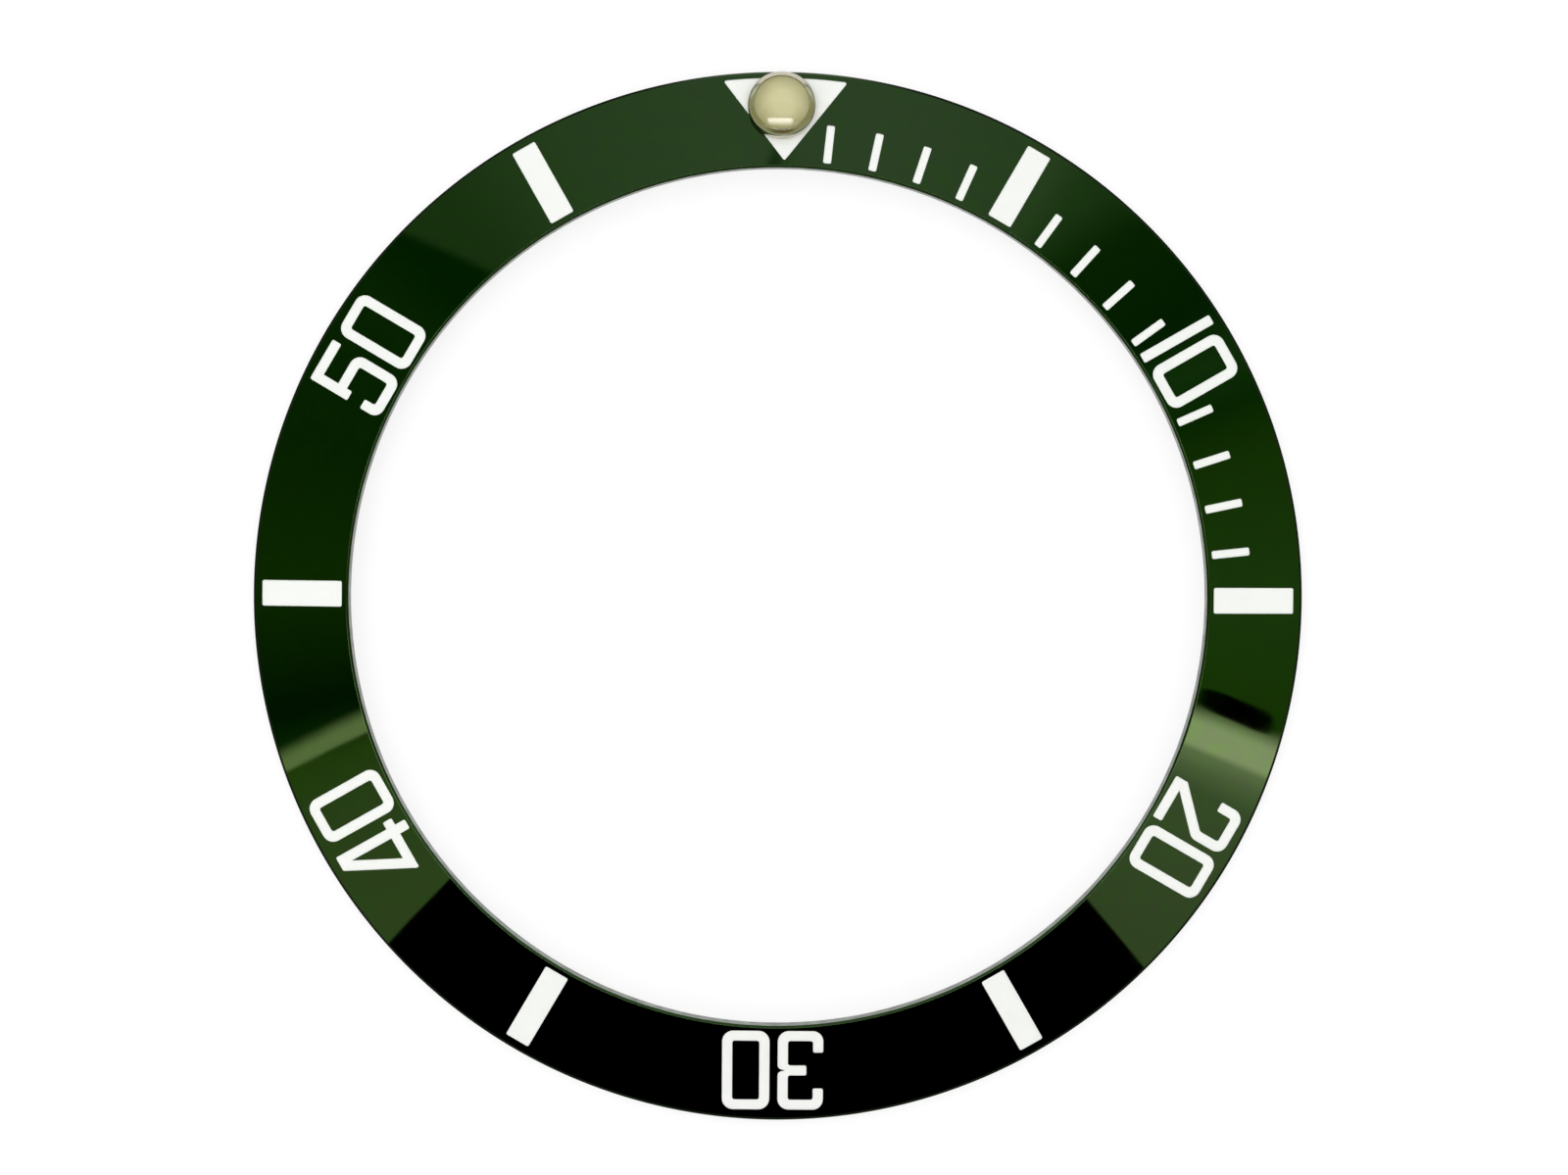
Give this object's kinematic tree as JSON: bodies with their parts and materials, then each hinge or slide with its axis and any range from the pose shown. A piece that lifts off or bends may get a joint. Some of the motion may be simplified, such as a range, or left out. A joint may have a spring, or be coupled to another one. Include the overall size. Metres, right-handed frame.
{
  "type": "watch bezel insert",
  "caption": "Sloping green ring for a dive watch's turning bezel, with engraved white minute marks and a raised luminous pearl at zero.",
  "frame": {"origin": "on the ring's axis, in the plane of its flat back", "axes": "+Z along the ring's axis, out of the marked face; +Y from the axis towards the zero mark and its pearl; +X towards the 15 minute bar"},
  "size_m": [0.0375, 0.0374, 0.0017],
  "materials": {
    "anodised_ring": "polished, dyed dark green by anodising",
    "white_lacquer": "satin white lacquer",
    "pearl_steel": "polished steel, turned",
    "pearl_lume": "cream luminous compound",
    "pearl_lens": "clear polished dome"
  },
  "bodies": {
    "root": {"insert_ring": "anodised_ring", "zero_triangle": "white_lacquer", "bar_05": "white_lacquer", "bar_15": "white_lacquer", "bar_25": "white_lacquer", "bar_35": "white_lacquer", "bar_45": "white_lacquer", "bar_55": "white_lacquer", "tick_01": "white_lacquer", "tick_02": "white_lacquer", "tick_03": "white_lacquer", "tick_04": "white_lacquer", "tick_06": "white_lacquer", "tick_07": "white_lacquer", "tick_08": "white_lacquer", "tick_09": "white_lacquer", "tick_11": "white_lacquer", "tick_12": "white_lacquer", "tick_13": "white_lacquer", "tick_14": "white_lacquer", "tens_of_10": "white_lacquer", "tens_of_20": "white_lacquer", "tens_of_30": "white_lacquer", "tens_of_40": "white_lacquer", "tens_of_50": "white_lacquer", "zero_of_10": "white_lacquer", "zero_of_20": "white_lacquer", "zero_of_30": "white_lacquer", "zero_of_40": "white_lacquer", "zero_of_50": "white_lacquer", "pearl_cup": "pearl_steel", "pearl_lume": "pearl_lume", "pearl_lens": "pearl_lens"}
  },
  "joints": []
}
